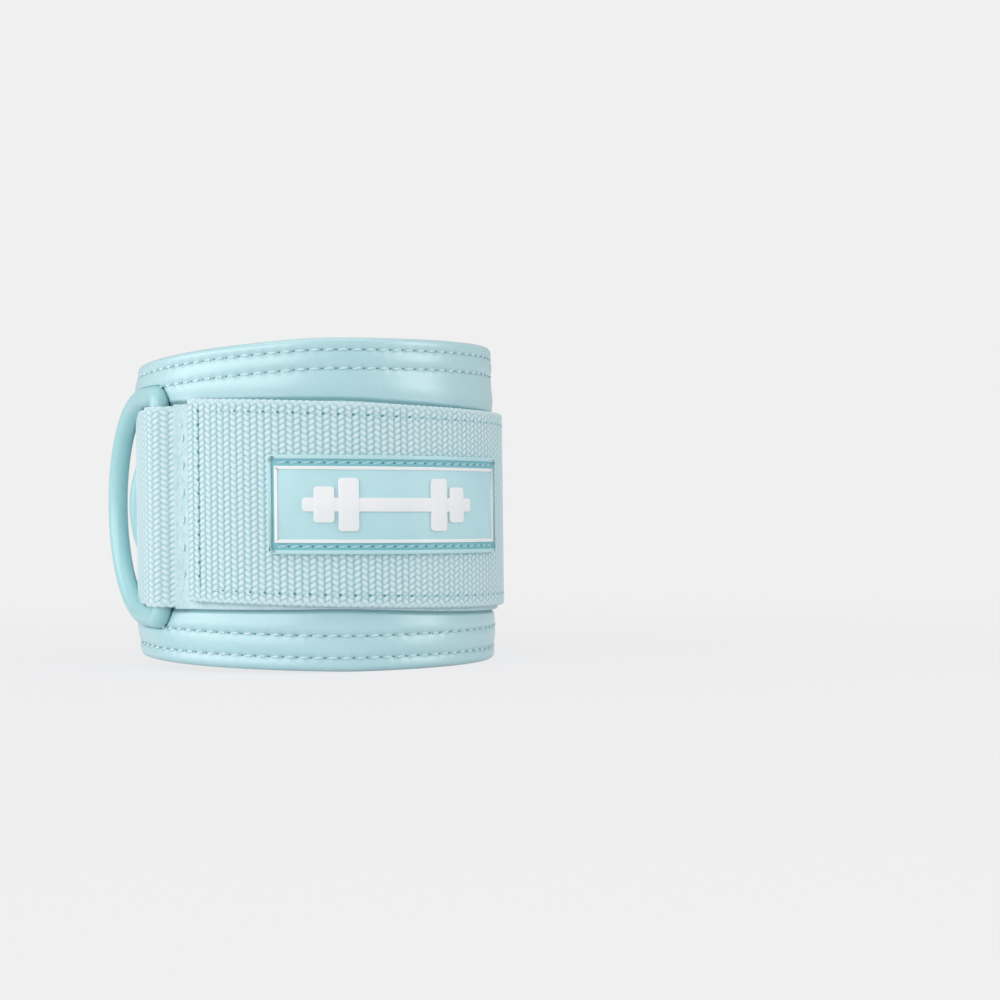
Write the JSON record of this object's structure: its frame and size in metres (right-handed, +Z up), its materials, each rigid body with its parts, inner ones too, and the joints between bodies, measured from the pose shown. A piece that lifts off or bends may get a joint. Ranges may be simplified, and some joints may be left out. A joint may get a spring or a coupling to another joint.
{
  "type": "ankle cuff",
  "caption": "Padded ankle cuff standing on its rim, with a wrapped hook-and-loop webbing strap, a rubber patch and swinging D-rings for a cable machine's clip.",
  "frame": {"origin": "leg axis, on the surface that the lower rim rests on", "axes": "+Z up along the leg axis, the patch's side of the strap facing -Y, the cuff's slit at -X"},
  "size_m": [0.1047, 0.1112, 0.082],
  "materials": {
    "skin": "smooth satin synthetic leather, very fine grain",
    "foam": "open-cell foam",
    "lining": "soft knitted lining",
    "thread": "spun polyester sewing thread",
    "webbing": "heavy woven webbing, raised plain weave",
    "loop_tape": "brushed loop pile",
    "hook_tape": "moulded hooks on a woven ground",
    "ring_coating": "satin-gloss coating on welded steel wire",
    "patch_rubber": "smooth moulded rubber",
    "patch_white": "smooth white moulded rubber"
  },
  "bodies": {
    "cuff": {"outer_skin": "skin", "foam_core": "foam", "inner_lining": "lining", "edge_stitching_upper": "thread", "edge_stitching_lower": "thread", "end_stitching_front": "thread", "end_stitching_rear": "thread", "base_webbing": "webbing", "ring_stitching_front": "thread", "loop_tape": "loop_tape", "loop_tape_stitching": "thread", "strap_rear": "webbing"},
    "front_ring": {"front_d_ring": "ring_coating"},
    "rear_ring": {"rear_d_ring": "ring_coating"},
    "strap_side_section": {"strap_side": "webbing", "hook_tape_side": "hook_tape", "strap_side_stitching": "thread"},
    "strap_middle_section": {"strap_middle": "webbing", "hook_tape_middle": "hook_tape", "strap_middle_stitching": "thread", "patch_base": "patch_rubber", "patch_border": "patch_white", "patch_emblem": "patch_white", "patch_stitching": "thread"},
    "strap_tip_section": {"strap_tip": "webbing", "hook_tape_tip": "hook_tape", "strap_tip_stitching": "thread"}
  },
  "joints": [
    {"name": "front_ring_swing", "type": "hinge", "parent": "cuff", "child": "front_ring", "pos_m": [-0.03893, -0.02808, 0.041], "axis": [0, 0, 1], "range_deg": [0, 120]},
    {"name": "rear_ring_swing", "type": "hinge", "parent": "cuff", "child": "rear_ring", "pos_m": [-0.01689, 0.04493, 0.041], "axis": [0, 0, -1], "range_deg": [-28, 75]},
    {"name": "strap_side_peel", "type": "hinge", "parent": "cuff", "child": "strap_side_section", "pos_m": [0.04801, 0.01286, 0.041], "axis": [0, 0, 1], "range_deg": [0, 30]},
    {"name": "strap_middle_peel", "type": "hinge", "parent": "strap_side_section", "child": "strap_middle_section", "pos_m": [0.04727, -0.01536, 0.041], "axis": [0, 0, 1], "range_deg": [0, 60]},
    {"name": "strap_tip_peel", "type": "hinge", "parent": "strap_middle_section", "child": "strap_tip_section", "pos_m": [-0.01536, -0.04727, 0.041], "axis": [0, 0, 1], "range_deg": [0, 45]}
  ],
  "couplings": [
    {"joint": "strap_side_peel", "follows": "strap_middle_peel", "ratio": 0.5},
    {"joint": "strap_tip_peel", "follows": "strap_middle_peel", "ratio": 0.75}
  ]
}
